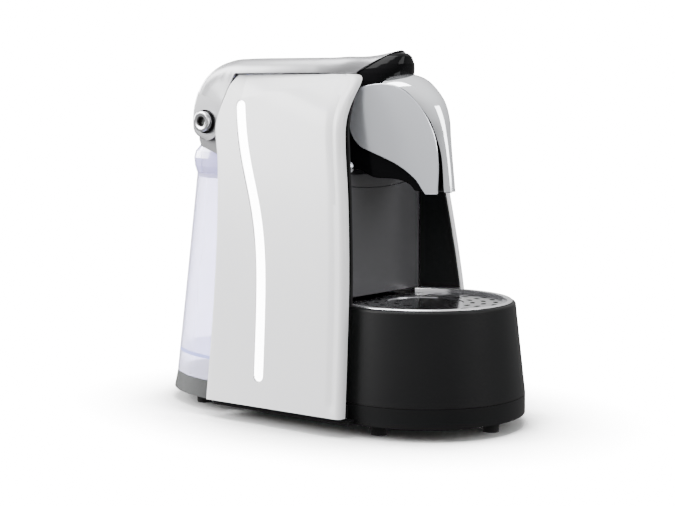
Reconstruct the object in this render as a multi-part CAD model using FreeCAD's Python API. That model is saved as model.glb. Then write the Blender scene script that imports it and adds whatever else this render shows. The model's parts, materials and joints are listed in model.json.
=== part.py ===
import FreeCAD, Part
import math
import os

# Pod coffee machine: splayed white side panels, a lever arm that runs over the top and
# down to a rear pivot, a beaked brew head, a round drip tray and a clear water tank.
# Drawn with the drip tray's axis at X = Y = 0, front towards -Y and the floor at Z = 0;
# save() then moves every piece so that the origin is below the middle of the machine.

V = FreeCAD.Vector
UP = V(0, 0, 1)
os.makedirs("parts", exist_ok=True)

# ---- driving dimensions (mm) ----
depth = 325.2            # front of the drip tray to back of the plinth
tray_foot_radius = 79.2
tray_top_radius = 71.0
tray_top = 96.0
seam_z = 25.0            # joint between the base ring and the drip tray
base_z = 9.7             # underside of the base, on its feet
foot_radius = 7.0

panel_foot = 14.6        # lower edge of the side panels
panel_top = 271.2
panel_half_width = 95.9  # at the floor, before the lean
panel_lean = 0.1263      # how far a panel leans in, mm per mm of height
panel_wall = 3.0
panel_lip = 8.0          # width of the rolled front edge
groove_width = 9.0
groove_depth = 1.2

splash_y = 46.5          # front of the backsplash
splash_seam_z = 182.0
inner_wall_x = 61.0
rear_wall_y = 140.0

head_half = 17.9         # head half-width above the tray's axis
head_flare = 0.40        # how much it widens per mm towards the back
head_bottom = 181.3

arm_low = 271.9          # lower edge of the arm, just above the panels
arm_height = 12.1
arm_wall = 2.4
arm_turn_y, arm_turn_z = 138.3, 234.3    # centre of the bend at the back of the arm
arm_turn_radius = 49.3
arm_rear_half = 63.0
pivot_y, pivot_z = 171.4, 233.7
shaft_radius = 4.0
running_gap = 0.05
lip_y = 43.0             # foot of the arm's front edge
lip_lean = (-0.7515, 0.6597)             # its direction in the YZ plane, forwards and up
lip_foot_half, lip_rise = 33.5, 27.4

button_radius = 6.0
button_gap = 0.35
button_spots = [(-17.0, 112.0), (0.0, 112.0), (17.0, 112.0)]
button_names = ["button_short", "button_power", "button_long"]

tank_y = 150.0           # flat front of the tank
tank_wall = 2.2
tank_foot_z = 23.0
tank_floor_z = 40.0
tank_rim_z = 211.0
tank_aspect = 0.70       # half-width over depth of its half-ellipse
lid_split_y = 193.0
hinge_y, hinge_z = 193.25, 217.0         # pin of the lid's filler flap
hinge_pin_radius = 0.7
outlet_z = 51.0
gland_x, gland_z = 72.5, 24.0

brew_z = 229.0           # height of the brew group's axis
slot_y = (51.0, 73.0)    # where a capsule drops in
slot_half = 20.0
piston_travel = 10.0


# ---- small helpers ----
def box(x, y, z):
    return Part.makeBox(x[1] - x[0], y[1] - y[0], z[1] - z[0], V(x[0], y[0], z[0]))


def rod(radius, start, direction, length):
    return Part.makeCylinder(radius, length, V(*start), V(*direction))


def tube(outer, inner, start, direction, length):
    return rod(outer, start, direction, length).cut(rod(inner, start, direction, length))


def mirrored(shape):
    return shape.mirror(V(0, 0, 0), V(1, 0, 0))


def both_sides(shape):
    return Part.makeCompound([shape, mirrored(shape)])


def spline(points):
    curve = Part.BSplineCurve()
    curve.interpolate([V(*p) for p in points])
    return curve.toShape()


def line(a, b):
    return Part.LineSegment(V(*a), V(*b)).toShape()


def at_x(x, points):
    return [(x, y, z) for y, z in points]


def prism_yz(points, x):
    """Straight-sided outline in the YZ plane, extruded between two X values."""
    wire = Part.makePolygon([V(x[0], y, z) for y, z in points + points[:1]])
    return Part.Face(wire).extrude(V(x[1] - x[0], 0, 0))


def prism_xy(points, z):
    wire = Part.makePolygon([V(x, y, z[0]) for x, y in points + points[:1]])
    return Part.Face(wire).extrude(V(0, 0, z[1] - z[0]))


def surface(grid):
    face = Part.BSplineSurface()
    face.interpolate([[V(*p) for p in row] for row in grid])
    return face.toShape()


def steps(low, high, count):
    return [low + (high - low) * i / (count - 1) for i in range(count)]


def save(name, shape):
    moved = shape.copy()
    moved.translate(V(0, tray_foot_radius - depth / 2, 0))
    moved.exportStep("parts/" + name + ".step")


# ---- side panels ----
def panel_x(y, z):
    """Half-width of the outer skin: a leaning plane that curls in below the arm."""
    curl = 1 + 21 * (max(0.0, 142 - y) / 100) ** 1.6
    curl_start = 225 + 0.32 * (y - 33)
    t = max(0.0, (z - curl_start) / (panel_top - curl_start))
    return panel_half_width - panel_lean * z - curl * t * t


panel_front = [(11.1, panel_foot), (13.9, 66), (17.5, 118), (24.2, 177), (30.2, 214),
               (32.6, 238), (33.4, 262)]
panel_back = [(145.3, panel_foot), (145.3, 69), (147.4, 140), (152.9, 203), (157.9, 231)]


def panel_outline(x, shift=0.0):
    front = [(y + shift, z) for y, z in panel_front]
    top_front = (42.4 + shift, panel_top)
    corner = [front[-1], (36.0 + shift, 268.6), top_front]
    turn = [panel_back[-1], (153.2, 246.8), (141.0, panel_top)]
    edges = [
        spline(at_x(x, front)),
        Part.Arc(*[V(*p) for p in at_x(x, corner)]).toShape(),
        line(*at_x(x, [top_front, turn[-1]])),
        Part.Arc(*[V(*p) for p in at_x(x, turn[::-1])]).toShape(),
        spline(at_x(x, panel_back[::-1])),
        line(*at_x(x, [panel_back[0], front[0]])),
    ]
    return Part.Face(Part.Wire(edges))


def panel_sheet(thickness):
    grid = [[(-panel_x(y, z), y, z) for z in steps(5, 278, 40)] for y in steps(5, 165, 24)]
    return surface(grid).extrude(V(thickness, 0, 0))


def groove():
    """The long S-shaped groove: a band of constant width round a smooth centre line."""
    def centre(z):
        return 92.5 + 31.5 / (1 + math.exp(-(z - 186) / 24)) + 0.05 * (z - 34)

    heights = steps(38.5, 246.5, 9)
    slope = [centre(z + 1) - centre(z) for z in heights]
    half = groove_width / 2
    sides = []
    for sign in (-1, 1):
        sides.append([(-120.0, centre(z) + sign * half, z - sign * half * s)
                      for z, s in zip(heights, slope)])
    low = (-120.0, centre(heights[0]), heights[0] - half)
    high = (-120.0, centre(heights[-1]), heights[-1] + half)
    edges = [
        spline(sides[0]),
        Part.Arc(V(*sides[0][-1]), V(*high), V(*sides[1][-1])).toShape(),
        spline(sides[1][::-1]),
        Part.Arc(V(*sides[1][0]), V(*low), V(*sides[0][0])).toShape(),
    ]
    band = Part.Face(Part.Wire(edges)).extrude(V(100, 0, 0))
    return band.common(panel_sheet(groove_depth))


def side_panel():
    whole = panel_outline(-120.0).extrude(V(110, 0, 0))
    behind_lip = panel_outline(-121.0, shift=6.0).extrude(V(112, 0, 0))
    lip = whole.cut(behind_lip).common(panel_sheet(panel_lip))
    return whole.common(panel_sheet(panel_wall)).fuse(lip).cut(groove()).removeSplitter()


# ---- inner walls and backsplash ----
def liner():
    """Black inner wall between the panel's front lip and the backsplash."""
    rows = []
    for t in steps(0, 1, 5):
        row = []
        for z in steps(tray_top + 1.5, 260, 16):
            y_front = 15.5 + 20.5 * ((z - 96) / 164) ** 1.25
            x_front = panel_x(y_front, z) - panel_lip - 1.5
            x_back = min(inner_wall_x, panel_x(splash_y, z) - panel_wall - 6.5)
            x, y = x_front + (x_back - x_front) * t, y_front + (splash_y - 0.4 - y_front) * t
            row.append((-x, y, z))
        rows.append(row)
    return surface(rows).extrude(V(2.0, 0, 0))


def backsplash():
    low = tray_top + 1.5
    sheet = box((-58.5, 58.5), (splash_y, splash_y + 2.5), (low, 205))
    for z_low, z_high, half in ((205, 232, 57.0), (232, 246, 52.0), (246, 259, 46.0)):
        sheet = sheet.fuse(box((-half, half), (splash_y, splash_y + 2.5), (z_low, z_high)))
    ring = rod(290, (0, splash_y - 1, splash_seam_z + 290), (0, 1, 0), 5)
    lower = sheet.cut(ring)
    inner_ring = rod(289.4, (0, splash_y - 1, splash_seam_z + 290), (0, 1, 0), 5)
    passage = box((-39.3, 39.3), (splash_y - 1, splash_y + 4), (197, 262))
    lugs = rod(8.3, (-49, 41.5, 199.8), (1, 0, 0), 98)
    upper = sheet.common(inner_ring).cut(passage).cut(lugs)
    return lower, upper.removeSplitter()


# ---- base ----
def base_plate():
    disc = rod(tray_foot_radius, (0, 0, base_z), (0, 0, 1), 3)
    bed = box((-86.5, 86.5), (8, 144), (base_z, base_z + 3))
    rim = tube(tray_foot_radius, tray_foot_radius - 2.8, (0, 0, base_z), (0, 0, 1),
               seam_z - 0.4 - base_z).common(box((-90, 90), (-90, 30), (0, 30)))
    sides = both_sides(box((-84.5, -82), (12, 144), (base_z, 24)))
    ribs = both_sides(box((-54, -51.5), (-40, 135), (base_z, seam_z - 0.4)))
    return disc.fuse([bed, rim, sides, ribs]).removeSplitter()


def feet():
    spots = [(0, -62), (-60.7, -1), (60.7, -1), (0, 120)]
    pads = []
    for x, y in spots:
        pad = Part.makeCone(foot_radius - 0.9, foot_radius, base_z, V(x, y, 0), UP)
        pads.append(pad.cut(rod(2.2, (x, y, -1), (0, 0, 1), 3)))
    return Part.makeCompound(pads)


def half_ellipse(half_width, reach, z, front=tank_y):
    """Flat-fronted half-ellipse outline, open towards the back of the machine."""
    left, back, right = V(-half_width, front, z), V(0, front + reach, z), V(half_width, front, z)
    if reach >= half_width:
        ellipse = Part.Ellipse(back, right, V(0, front, z))
    else:
        ellipse = Part.Ellipse(right, back, V(0, front, z))
    arc = Part.ArcOfEllipse(ellipse, -math.pi / 2, math.pi / 2).toShape()
    return Part.Wire([arc, Part.LineSegment(left, right).toShape()])


def rear_plinth():
    back = depth - tray_foot_radius
    outer = Part.makeLoft([half_ellipse(74, back - tank_y, base_z - 0.2),
                           half_ellipse(67.5, back - tank_y - 0.6, tank_foot_z - 0.3)], True, True)
    neck = box((-62, 62), (144.3, tank_y), (base_z - 0.2, tank_foot_z - 0.3))
    hollow = Part.makeLoft([half_ellipse(70, back - tank_y - 4, base_z - 1),
                            half_ellipse(63.5, back - tank_y - 5, tank_foot_z - 3.3)], True, True)
    return outer.fuse(neck).cut(hollow).removeSplitter()


def rear_feet():
    pads = []
    for x in (-47, 47):
        pads.append(Part.makeCone(foot_radius - 0.9, foot_radius, tank_foot_z - 3.3, V(x, 190, 0), UP))
    return Part.makeCompound(pads)


# ---- drip tray ----
def tray_radius(z):
    t = (z - seam_z) / (tray_top - seam_z)
    return tray_foot_radius + (tray_top_radius - tray_foot_radius) * t


def tray_cone(z_low, z_high, inset):
    return Part.makeCone(tray_radius(z_low) - inset, tray_radius(z_high) - inset,
                         z_high - z_low, V(0, 0, z_low), UP)


bin_room = ((-48.0, 48.0), (49.0, 104.0))


def drip_tray():
    floor_z = seam_z + 2.8
    outer = tray_cone(seam_z, tray_top, 0)
    outer = outer.makeFillet(2.2, [e for e in outer.Edges
                                   if e.BoundBox.ZMin > tray_top - 0.1])
    back = box((-51, 51), (40, 107), (seam_z, 92))
    wall = outer.fuse(back)
    cup = tray_cone(floor_z, 91.4, 2.8).fuse(rod(66.6, (0, 0, 91.3), (0, 0, 1), 10))
    room = box(bin_room[0], bin_room[1], (floor_z, 100))
    divider = box((-70, 70), (46.6, 49.0), (floor_z, 91.4)).common(tray_cone(seam_z, 96, 1.0))
    ledge = tube(69.6, 62.5, (0, 0, 88.6), (0, 0, 1), 2.8).common(box((-80, 80), (-80, 46.6), (0, 99)))
    trim = box((-80, 80), (46.6, 110), (91.4, 100))
    return wall.cut(cup).cut(room).fuse(divider).fuse(ledge).cut(trim).removeSplitter()


def round_slot(angle, radius, length, width, z):
    """One oval drain hole, lying along its ring."""
    half = (length - width) / 2
    body = box((radius - width / 2, radius + width / 2), (-half, half), z)
    for end in (-half, half):
        body = body.fuse(rod(width / 2, (radius, end, z[0]), (0, 0, 1), z[1] - z[0]))
    body.rotate(V(0, 0, 0), UP, angle)
    return body


def drip_grid():
    plate = rod(63.98, (0, 0, 93.0), (0, 0, 1), 1.4).cut(rod(31, (0, 0, 93.9), (0, 0, 1), 2))
    plate = plate.common(box((-80, 80), (-80, 45.8), (0, 120)))
    holes = []
    for radius, count in ((22.5, 9), (37.5, 15), (46.5, 19), (55.5, 23)):
        for i in range(count):
            holes.append(round_slot(360 * (i + 0.5) / count, radius, 7.4, 3.8, (92, 95)))
    return plate.cut(Part.makeCompound(holes))


def grid_rim():
    """Bright ring round the grid, turned from its section and trimmed at the backsplash."""
    section = [(64.0, 91.5), (66.3, 91.5), (66.3, 94.9), (65.6, 95.6), (64.7, 95.6), (64.0, 94.9)]
    wire = Part.makePolygon([V(r, 0, z) for r, z in section + section[:1]])
    ring = Part.Face(wire).revolve(V(0, 0, 0), UP, 360)
    return ring.common(box((-80, 80), (-80, 45.8), (0, 120)))


def capsule_bin():
    (x0, x1), (y0, y1) = bin_room
    outer = box((x0 + 0.5, x1 - 0.5), (y0 + 0.5, y1 - 0.5), (seam_z + 3.1, 90))
    inner = box((x0 + 2.3, x1 - 2.3), (y0 + 2.3, y1 - 2.3), (seam_z + 5, 95))
    return outer.cut(inner)


# ---- brew head ----
# Stations of the hood: ridge (y, z), edge (y, z) and half-width at the edge.
hood_stations = [
    ((-27.1, 181.3), (-22.1, 181.3), 6.5),
    ((-23.9, 209.0), (-19.6, 209.0), 6.8),
    ((-22.2, 222.5), (-16.9, 221.5), 8.6),
    ((-19.8, 238.0), (-13.0, 235.4), 12.2),
    ((-13.6, 252.5), (-4.4, 248.4), 16.1),
    ((0.6, 266.2), (5.1, 258.6), 19.9),
    ((11.0, 270.6), (13.6, 262.6), 23.3),
    ((22.0, 271.2), (22.4, 264.0), 26.8),
]


def hood_section(station, inset):
    (ry, rz), (ey, ez), half = station
    length = math.hypot(ey - ry, ez - rz)
    ny, nz = (ey - ry) / length, (ez - rz) / length
    w = half - 0.75 * inset
    left, right = V(-w, ey, ez), V(w, ey, ez)
    crown = V(0, ry + ny * inset, rz + nz * inset)
    shift = V(0, ny, nz) * (0.8 if inset else 0.0)
    return Part.Wire([Part.Arc(left + shift, crown, right + shift).toShape(),
                      Part.LineSegment(right + shift, left + shift).toShape()])


def hood_solid(inset=0.0):
    return Part.makeLoft([hood_section(s, inset) for s in hood_stations], True, True)


def head_hood():
    return hood_solid().cut(hood_solid(1.7))


def wedge(inset, y=(-34.0, 52.0), z=(170.0, 280.0)):
    """Everything between the two converging sides of the head."""
    near, far = [head_half + head_flare * v - inset for v in y]
    return prism_xy([(-near, y[0]), (near, y[0]), (far, y[1]), (-far, y[1])], z)


def cheek():
    top = [(38.1, 261.2), (30.7, 263.1), (22.4, 264.0)]
    front = [(22.4, 264.0), (13.4, 262.4), (4.9, 257.6), (-4.6, 248.0), (-11.5, 236.4), (-16.9, 221.1),
             (-19.0, 203.0), (-18.6, 179.6)]
    below = [(-9.5, 179.4), (-2.5, 190.4), (12.2, 202.4), (38.0, 215.2), (46.4, 234.0), (38.1, 261.2)]
    edges = [spline(at_x(-60, top)), spline(at_x(-60, front)),
             line(*at_x(-60, [front[-1], below[0]])), spline(at_x(-60, below))]
    plate = Part.Face(Part.Wire(edges)).extrude(V(60, 0, 0))
    plate = plate.common(wedge(0)).cut(wedge(1.6)).cut(hood_solid())
    return max(plate.Solids, key=lambda s: s.Volume)


def head_housing():
    profile = [(-17.5, head_bottom), (-17.8, 205), (-14.5, 224), (-8.5, 240), (0, 251), (12, 258.4),
               (30, 259.5), (52, 257.5), (52, 197.5), (39.5, 197.5), (34.3, 194.4), (29.1, 191.8),
               (14.3, 190.9), (7, 189.1), (2.6, 186.5), (-1.1, 182)]
    body = prism_yz(profile, (-45, 45)).common(wedge(1.75))
    lug = rod(8.0, (-44, 41.5, 199.8), (1, 0, 0), 88).common(box((-60, 60), (20, 46.3), (180, 220)))
    room = box((-24.5, 24.5), (13, 60), (203.5, 254.5))
    spout_hole = rod(6.1, (0, -8, 170), (0, 0, 1), 24)
    duct = rod(3, (0, -8, 190), (0, 0, 1), 42)
    body = body.fuse(lug).cut(hood_solid()).cut(room).cut(spout_hole).cut(duct)
    duct_back = rod(3, (0, -8, brew_z), (0, 1, 0), 30)
    return body.cut(duct_back).removeSplitter()


def coffee_spout():
    body = tube(6.0, 3.0, (0, -8, 182.2), (0, 0, 1), 11.6)
    return body.fuse(box((-0.8, 0.8), (-13.5, -2.5), (182.2, 187)))


def brew_chamber():
    body = rod(22, (0, 14, brew_z), (0, 1, 0), 35)
    return body.cut(rod(18.8, (0, 24, brew_z), (0, 1, 0), 30)).cut(rod(2.5, (0, 10, brew_z), (0, 1, 0), 20))


def piercing_plate():
    plate = rod(18.4, (0, 24.2, brew_z), (0, 1, 0), 1.6)
    for i in range(6):
        a = math.radians(60 * i)
        pin = Part.makeCone(1.4, 0.3, 4, V(10 * math.cos(a), 25.8, brew_z + 10 * math.sin(a)), V(0, 1, 0))
        plate = plate.fuse(pin)
    return plate.cut(rod(1.2, (0, 20, brew_z), (0, 1, 0), 9))


def brew_piston():
    disc = rod(19.5, (0, slot_y[1] + 1, brew_z), (0, 1, 0), 8)
    stem = rod(6, (0, slot_y[1] + 9, brew_z), (0, 1, 0), 36)
    return disc.fuse(stem).cut(rod(2, (0, slot_y[1] - 1, brew_z), (0, 1, 0), 50))


def piston_guide():
    y = slot_y[1] + 21
    plate = box((-34, 34), (y, y + 5), (brew_z - 24, brew_z + 24))
    return plate.cut(rod(6 + running_gap, (0, y - 1, brew_z), (0, 1, 0), 8))


def guide_rails():
    return both_sides(box((-34, -30.5), (52.5, slot_y[1] + 20.8), (brew_z - 22, brew_z + 22)))


def capsule_chute():
    outer = box((-24, 24), (50.2, 76), (98, 197))
    return outer.cut(box((-22, 22), (52.2, 74), (97, 198)))


# ---- arm ----
def arm_half(y):
    """Half-width of the arm's lower edge along the top, flush with the panels."""
    return panel_x(y, panel_top)


def arm_section(base, up, half, height, shoulder, inset):
    """Closed arch: a flat base, leaning sides with round shoulders and a gently crowned top."""
    h, d = half - inset, height - inset
    outline = [(-h, 0), (-h + 0.16 * shoulder, 0.45 * d), (-h + 0.46 * shoulder, 0.84 * d),
               (-h + shoulder, d), (0, d + 0.4)]
    outline += [(-x, n) for x, n in outline[-2::-1]]
    points = [(x, base[0] + up[0] * n, base[1] + up[1] * n) for x, n in outline]
    return Part.Wire([spline(points), line(points[-1], points[0])])


def lip_section(inset):
    """The front edge of the cover: a rounded triangle leaning forwards over the grip."""
    outline = []
    for t in (0, 0.3, 0.6, 0.87, 1.0):
        outline.append((-(lip_foot_half - inset) * (1 - t) ** 0.62, (lip_rise - inset) * t))
    outline += [(-x, n) for x, n in outline[-2::-1]]
    points = [(x, lip_y + lip_lean[0] * n, arm_low + lip_lean[1] * n) for x, n in outline]
    return Part.Wire([spline(points), line(points[-1], points[0])])


# Round the bend: angle from upright (degrees) and distance of the underside from its centre.
arm_underside = [(0, 37.6), (4.5, 37.7), (11, 33.2), (22, 27.6), (33, 23.9), (44, 21.5), (55, 20.1),
                 (66, 19.4)]


def arm_volume(inset):
    stations = []
    for angle, low in arm_underside:
        a = math.radians(angle)
        up = (math.sin(a), math.cos(a))
        half = arm_rear_half - 2.0 * math.cos(a)
        base = (arm_turn_y + up[0] * low, arm_turn_z + up[1] * low)
        stations.append(arm_section(base, up, half, arm_turn_radius - low, 9 - 4 * math.sin(a), inset))
    stations.reverse()
    for y in (124, 108, 92, 78, 66):
        stations.append(arm_section((y, arm_low), (0, 1), arm_half(y), arm_height, 10, inset))
    stations.append(arm_section((52, arm_low), (-0.33, 0.944), 40.5, 13.6, 15, inset))
    stations.append(lip_section(inset))
    return Part.makeLoft(stations, True, True)


def ears():
    """Side plates at the back of the arm that reach down to the pivot."""
    outer = [(arm_turn_y + arm_turn_radius * math.sin(math.radians(v)),
              arm_turn_z + arm_turn_radius * math.cos(math.radians(v))) for v in (60, 70, 80, 90)]
    outline = outer + [(187.6, 229), (182, 222), (171.4, 218.5), (161.5, 221.5), (158.7, 230),
                       (157.4, 239.5), (154.9, 247.6), (151.5, 255.5)]
    ear = prism_yz(outline, (-arm_rear_half, -arm_rear_half + 3))
    return both_sides(ear)


def arm_cover():
    outer, inner = arm_volume(0), arm_volume(arm_wall)
    shell = outer.cut(inner)
    below = prism_yz([(20, 262), (20, arm_low), (142, arm_low), (142, 262)], (-70, 70))
    shell = shell.cut(below)
    tail = prism_yz([(140, 205), (200, 205), (200, 250), (140, 250)], (-59.8, 59.8))
    shell = shell.cut(tail)
    shell = shell.fuse(ears().Solids)
    shell = shell.cut(rod(shaft_radius + running_gap, (-80, pivot_y, pivot_z), (1, 0, 0), 160))
    for x, y in button_spots:
        shell = shell.cut(rod(button_radius + button_gap, (x, y, 270), (0, 0, 1), 30))
    return shell.removeSplitter()


def button(spot):
    x, y = spot
    cap = rod(button_radius, (x, y, arm_low + arm_height - 3.6), (0, 0, 1), 4.1)
    cap = cap.makeFillet(0.5, [e for e in cap.Edges if e.BoundBox.ZMin > arm_low + arm_height])
    return cap.fuse(rod(2.0, (x, y, arm_low + 4.4), (0, 0, 1), 5))


def button_carrier():
    plate = box((-27, 27), (103, 121), (arm_low - 1.0, arm_low + 1.2))
    walls = both_sides(box((-27, -25), (103, 121), (arm_low, arm_low + arm_height - 3.2)))
    body = plate.fuse(walls.Solids)
    for x, y in button_spots:
        body = body.fuse(tube(3.4, 2.25, (x, y, arm_low), (0, 0, 1), 6.4))
    return body


def lever_frame():
    """Steel side links from the pivot up into the arm, joined by two cross bars."""
    link = prism_yz([(164, 240), (171, 246), (150, 272), (132, 277.5), (126, 277.5), (126, 273.5),
                     (131, 273.5), (143, 268.5)], (-54.5, -52))
    link = link.fuse(rod(10, (-54.5, pivot_y, pivot_z), (1, 0, 0), 2.5))
    link = link.fuse(prism_yz([(162, 236), (176, 242), (171, 248), (160, 246)], (-54.5, -52)))
    link = link.cut(rod(shaft_radius + running_gap, (-60, pivot_y, pivot_z), (1, 0, 0), 20))
    links = both_sides(link).Solids
    rails = both_sides(box((-36, -30), (64, 132), (273.5, 277.5))).Solids
    bars = [box((-54.5, 54.5), (126, 132), (273.5, 277.5)), box((-36, 36), (64, 70), (273.5, 277.5))]
    return links[0].fuse(links[1:] + rails + bars).removeSplitter()


def head_envelope():
    """The head's outer shape with a small gap over it, to keep the grip clear."""
    lift = 0.7
    top = [(-30, 200), (-22, 232), (-12, 250), (0, 259), (12, 263.3), (24, 264.6), (38, 261.9), (60, 259)]
    block = prism_yz(top + [(60, 170), (-30, 170)], (-60, 60)).common(wedge(-0.6, y=(-34, 60)))
    block.translate(V(0, 0, lift))
    hood = hood_solid()
    hood.translate(V(0, 0, lift))
    return block.fuse(hood)


def grip_section(z, half, back, front):
    """Bullet outline at one height: flat back and a rounded nose towards the user."""
    outline = [(-half, back + 6), (-half, back), (-0.72 * half, back - 0.66 * (back - front)), (0, front)]
    outline += [(-x, y) for x, y in outline[-2::-1]]
    points = [(x, y, z) for x, y in outline]
    return Part.Wire([spline(points[1:-1]), line(points[-2], points[-1]), line(points[-1], points[0]),
                      line(points[0], points[1])])


def lever_grip():
    stations = [grip_section(257.0, 33.4, 46.0, 22.5), grip_section(265.0, 33.0, 44.5, 20.0),
                grip_section(272.0, 31.0, 43.0, 17.6), grip_section(279.0, 24.5, 35.6, 15.4),
                grip_section(285.0, 15.8, 29.3, 15.6), grip_section(289.4, 4.6, 24.6, 19.4)]
    nose = Part.makeLoft(stations, True, True)
    reach = 120.0
    ahead = [(lip_y - reach * lip_lean[0], arm_low - reach * lip_lean[1]),
             (lip_y + reach * lip_lean[0], arm_low + reach * lip_lean[1]), (-90, 330), (-90, 150)]
    front = nose.common(prism_yz(ahead, (-60, 60)))
    inside = nose.common(arm_volume(arm_wall))
    skirt = nose.common(box((-60, 60), (0, 70), (250, arm_low - 0.2)))
    return front.fuse([inside, skirt]).cut(head_envelope()).removeSplitter()


# ---- rear brackets, pivot and bolts ----
def rear_bracket():
    outline = [(143.2, 203), (157.8, 205.5), (181.0, 213.7), (183.0, 219), (183.0, 240), (178, 247),
               (143.2, 247)]
    plate = prism_yz(outline, (-58.5, -55.5))
    foot = box((-58.5, -46), (143.2, 145.6), (222, 247))
    hole = rod(shaft_radius, (-70, pivot_y, pivot_z), (1, 0, 0), 30)
    return plate.fuse(foot).cut(hole)


def rear_wall():
    outline = [(-81.7, base_z + 3), (81.7, base_z + 3), (81.7, 30), (58.5, 240), (55, 260.8), (-55, 260.8),
               (-58.5, 240), (-81.7, 30)]
    wire = Part.makePolygon([V(x, rear_wall_y, z) for x, z in outline + outline[:1]])
    plate = Part.Face(wire).extrude(V(0, 3, 0))
    plate = plate.cut(rod(7.5, (gland_x, rear_wall_y - 2, gland_z), (0, 1, 0), 8))
    return plate.cut(rod(11, (0, rear_wall_y - 2, outlet_z), (0, 1, 0), 8))


def top_deck():
    outline = [(-43, 58), (-50, 84), (-54.5, 110), (-56.5, 142.8)]
    outline += [(-x, y) for x, y in reversed(outline)]
    deck = prism_xy(outline, (261.2, 263.8))
    return deck.cut(box((-slot_half, slot_half), slot_y, (255, 270)))


def hex_socket(x, y, z, across, length):
    corners = []
    for i in range(6):
        a = math.radians(60 * i + 30)
        corners.append((y + across / math.sqrt(3) * math.cos(a), z + across / math.sqrt(3) * math.sin(a)))
    return prism_yz(corners, (x, x + length))


def cap_bolt(x, y, z, radius, height, across):
    head = rod(radius, (x, y, z), (1, 0, 0), height)
    head = head.makeFillet(0.9, [e for e in head.Edges if e.BoundBox.XMax < x + 0.1])
    return head.cut(hex_socket(x - 0.5, y, z, across, 0.7 * height))


# ---- tank ----
def tank_reach(z):
    """Depth of the tank's half-ellipse: a slow taper, a waist and a rounded lid above it."""
    return 96.0 - 0.1262 * (z - 23) + 0.00003 * (z - 23) * (z - 105)


def tank_loft(heights, inset, shift=0.0):
    wires = []
    for z in heights:
        reach = tank_reach(z)
        wires.append(half_ellipse(tank_aspect * reach - inset, reach - inset - shift, z, front=tank_y + shift))
    return Part.makeLoft(wires, True, False)


def water_tank():
    outer = tank_loft(steps(tank_foot_z, tank_rim_z - 20.5, 4), 0)
    rim = tank_loft(steps(tank_rim_z - 20.5, tank_rim_z, 3), 3.2, shift=2.6)
    inner = tank_loft(steps(tank_rim_z - 30, tank_rim_z + 1, 3), tank_wall + 3.2, shift=tank_wall + 2.6)
    room = tank_loft(steps(tank_floor_z + 2.4, tank_rim_z - 24, 4), tank_wall, shift=tank_wall)
    skirt = tank_loft(steps(tank_foot_z - 1, tank_floor_z, 3), tank_wall, shift=tank_wall)
    body = outer.fuse(rim).cut(inner).cut(room).cut(skirt)
    return body.cut(rod(5.6, (0, tank_y - 2, outlet_z), (0, 1, 0), 8)).removeSplitter()


def lid_volume():
    """Dome of the tank lid: bulges just above the waist and rounds over at the top."""
    rows = [(190.9, 0.4), (196.5, 3.0), (203.0, 4.4), (208.5, 3.4), (213.0, -0.4), (216.0, -6.5)]
    wires = []
    for z, grow in rows:
        reach = tank_reach(z) + grow
        wires.append(half_ellipse(tank_aspect * reach, reach, z))
    return Part.makeLoft(wires, True, True)


def knuckle(x, side):
    """Hinge barrel with a web to the lid in front of it (side -1) or the flap behind it (1)."""
    web_y = sorted((hinge_y, hinge_y + 4 * side))
    barrel = rod(1.5, (x[0], hinge_y, hinge_z), (1, 0, 0), x[1] - x[0])
    return barrel.fuse(box(x, web_y, (hinge_z - 2.0, hinge_z - 0.2)))


def tank_lid():
    hollow = tank_loft([180, 195, tank_rim_z + 0.6], 2.6, shift=2.0)
    dome = lid_volume().cut(hollow)
    front = dome.common(box((-90, 90), (100, lid_split_y), (150, 250)))
    flap = dome.common(box((-90, 90), (lid_split_y + 0.5, 300), (150, 250)))

    middle, side = (-7.6, 7.6), (-16.0, -7.9)
    notch = box((-7.9, 7.9), (hinge_y - 1.9, 200), (hinge_z - 2.2, 220))
    front = front.cut(notch).fuse(both_sides(knuckle(side, -1)).Solids)
    front = front.fuse(rod(hinge_pin_radius, (side[0], hinge_y, hinge_z), (1, 0, 0), -2 * side[0]))
    notches = both_sides(box((side[0] - 0.3, middle[0]), (180, hinge_y + 1.9), (hinge_z - 2.2, 220)))
    flap = flap.cut(notches).fuse(knuckle(middle, 1))
    flap = flap.cut(rod(hinge_pin_radius + running_gap, (-9, hinge_y, hinge_z), (1, 0, 0), 18))
    return front.removeSplitter(), flap.removeSplitter()


def tank_outlet():
    return tube(5.6, 3.6, (0, 141.2, outlet_z), (0, 1, 0), 11.0)


def valve_poppet():
    seat = rod(3.3, (0, 147.0, outlet_z), (0, 1, 0), 1.6)
    stem = rod(1.3, (0, 141.8, outlet_z), (0, 1, 0), 5.4)
    return seat.fuse(stem)


# ---- inner works ----
def inlet_socket():
    body = tube(10.8, 5.9, (0, 131, outlet_z), (0, 1, 0), 13)
    return body.fuse(tube(10.8, 4, (0, 127, outlet_z), (0, 1, 0), 4))


def elbow_hose():
    """Silicone hose: out of the socket, round one bend and up to the flow meter."""
    bend, diagonal = 9.0, 9.0 * math.sin(math.pi / 4)
    start, turn = V(0, 126.8, outlet_z), V(0, 126.0, outlet_z)
    turned, end = V(0, 117.0, outlet_z + bend), V(0, 117.0, 65.8)
    first = Part.LineSegment(start, turn).toShape()
    middle = V(0, turn.y - diagonal, outlet_z + bend - diagonal)
    corner = Part.Arc(turn, middle, turned).toShape()
    last = Part.LineSegment(turned, end).toShape()
    path = Part.Wire([first, corner, last])
    ring = Part.Wire([Part.Circle(start, V(0, 1, 0), 3.4).toShape()])
    return path.makePipeShell([ring], True, False)


def flow_meter():
    return rod(13, (0, 124, 66), (0, 0, 1), 16).fuse(box((11, 20), (119, 129), (68, 80)))


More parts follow.
